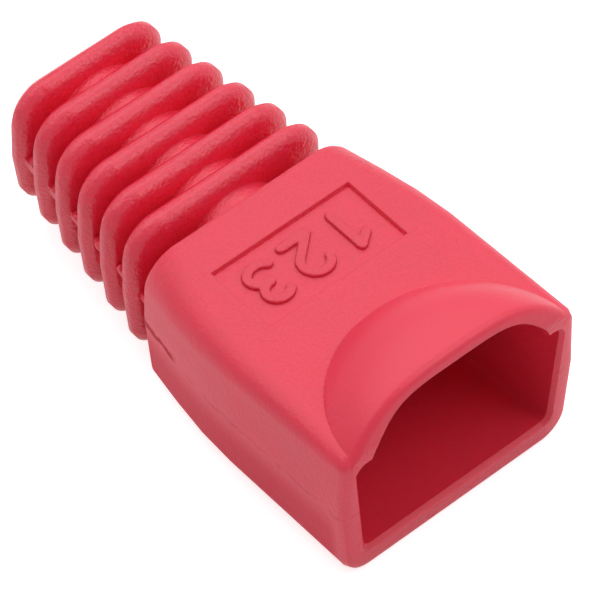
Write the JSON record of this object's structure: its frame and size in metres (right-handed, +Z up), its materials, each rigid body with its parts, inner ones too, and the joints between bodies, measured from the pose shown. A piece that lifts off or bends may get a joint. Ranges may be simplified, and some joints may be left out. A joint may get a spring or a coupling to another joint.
{
  "type": "modular plug strain relief boot",
  "caption": "Soft one-piece boot with a plug cavity, a domed latch hood, a recessed panel and a ribbed, tapering cable neck.",
  "frame": {"origin": "middle of the boot's length and width, on the surface that it rests on", "axes": "+Y along the boot from the plug's mouth to the cable end, +Z up on the side of the latch hood"},
  "size_m": [0.0142, 0.0272, 0.011],
  "materials": {
    "boot": "satin, finely grained soft plastic"
  },
  "bodies": {
    "root": {"boot": "boot"}
  },
  "joints": []
}
